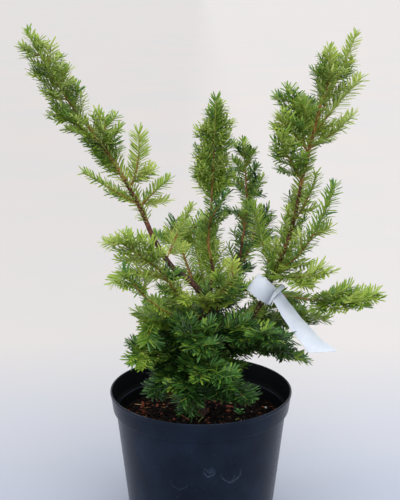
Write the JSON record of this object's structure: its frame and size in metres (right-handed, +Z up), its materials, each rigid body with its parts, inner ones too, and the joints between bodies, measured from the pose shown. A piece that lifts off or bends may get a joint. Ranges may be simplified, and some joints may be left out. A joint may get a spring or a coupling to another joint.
{
  "type": "potted dwarf japanese yew",
  "caption": "Young dwarf japanese yew with upright needled boughs and a low leafy skirt in a round black nursery pot, with a blank strip label.",
  "frame": {"origin": "centre of the pot's flat underside", "axes": "+Z up along the pot's axis, -Y towards the plant's front, +X towards the viewer's right"},
  "size_m": [0.4314, 0.2506, 0.6376],
  "materials": {
    "pot": "black moulded plastic with a satin sheen",
    "soil": "dark moist peat with bark chips",
    "bark": "red-brown flaking bark",
    "foliage": "dark green flat needles, lighter beneath",
    "label": "white synthetic paper, unprinted"
  },
  "bodies": {
    "root": {"back": "foliage", "back_left": "foliage", "back_right": "foliage", "bough_back": "bark", "bough_back_left": "bark", "bough_back_right": "bark", "bough_centre": "bark", "bough_centre_right": "bark", "bough_left": "bark", "bough_left_front": "bark", "bough_left_low": "bark", "bough_right": "bark", "bough_right_low": "bark", "centre_in": "foliage", "centre_left": "foliage", "centre_right_curl": "foliage", "centre_right_top": "foliage", "centre_top": "foliage", "heart_left": "foliage", "heart_right": "foliage", "label": "label", "left_droop": "foliage", "left_fork": "foliage", "left_front": "foliage", "left_in": "foliage", "left_inner": "foliage", "left_low": "foliage", "left_out": "foliage", "left_reach": "foliage", "left_top": "foliage", "light_shoot": "foliage", "pot": "pot", "right_arch": "foliage", "right_crown": "foliage", "right_dark": "foliage", "right_foot": "foliage", "right_in_high": "foliage", "right_in_low": "foliage", "right_in_mid": "foliage", "right_low": "foliage", "right_out_high": "foliage", "right_out_low": "foliage", "right_side": "foliage", "right_top": "foliage", "right_under": "foliage", "skirt_front_1": "foliage", "skirt_front_2": "foliage", "skirt_front_3": "foliage", "skirt_high_1": "foliage", "skirt_high_2": "foliage", "skirt_high_3": "foliage", "skirt_high_4": "foliage", "skirt_high_5": "foliage", "skirt_low_1": "foliage", "skirt_low_2": "foliage", "skirt_low_3": "foliage", "skirt_low_4": "foliage", "skirt_low_5": "foliage", "soil": "soil", "trunk": "bark"}
  },
  "joints": []
}
